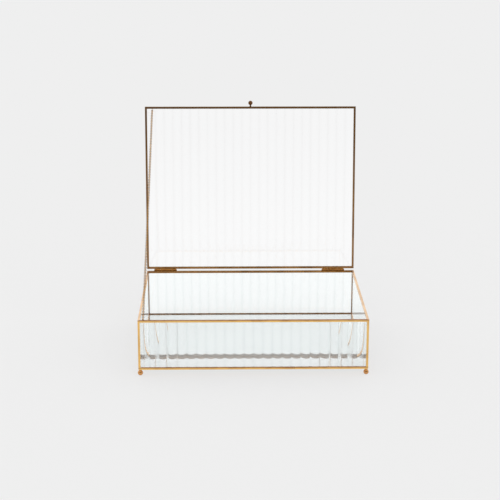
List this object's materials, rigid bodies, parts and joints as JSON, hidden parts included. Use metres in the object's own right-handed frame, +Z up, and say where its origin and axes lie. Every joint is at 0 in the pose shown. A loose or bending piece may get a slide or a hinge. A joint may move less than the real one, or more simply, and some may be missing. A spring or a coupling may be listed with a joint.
{
  "type": "jewelry box",
  "caption": "Rectangular reeded-glass jewelry box in a thin brass frame on ball feet, with a mirror floor and a hinged glass lid held open by a chain.",
  "frame": {"origin": "on the table, under the middle of the base", "axes": "+Z up, front towards -Y, the hinge along X at the back; the rest pose has the lid open on its chain"},
  "size_m": [0.2518, 0.2166, 0.267],
  "materials": {
    "brass": "polished",
    "chain": "polished",
    "reeded_glass": "clear, reeded",
    "mirror": "polished"
  },
  "bodies": {
    "base": {"back_glass": "reeded_glass", "back_left_foot": "brass", "back_left_post": "brass", "back_right_foot": "brass", "back_right_post": "brass", "base_chain_eyelet": "brass", "base_mirror": "mirror", "bottom_back_rail": "brass", "bottom_front_rail": "brass", "bottom_left_rail": "brass", "bottom_right_rail": "brass", "front_glass": "reeded_glass", "front_left_foot": "brass", "front_left_post": "brass", "front_right_foot": "brass", "front_right_post": "brass", "left_glass": "reeded_glass", "left_hinge_base_leaf": "brass", "left_hinge_pin": "brass", "right_glass": "reeded_glass", "right_hinge_base_leaf": "brass", "right_hinge_pin": "brass", "stay_chain": "chain", "top_back_rail": "brass", "top_front_rail": "brass", "top_left_rail": "brass", "top_right_rail": "brass"},
    "lid": {"left_hinge_lid_leaf": "brass", "lid_back_rail": "brass", "lid_chain_eyelet": "brass", "lid_front_rail": "brass", "lid_glass": "reeded_glass", "lid_knob": "brass", "lid_left_rail": "brass", "lid_right_rail": "brass", "right_hinge_lid_leaf": "brass"}
  },
  "joints": [
    {"name": "lid_hinge", "type": "hinge", "parent": "base", "child": "lid", "pos_m": [0, 0.0996, 0.063], "axis": [1, 0, 0], "range_deg": [0, 94], "deforming": ["stay_chain"]}
  ]
}
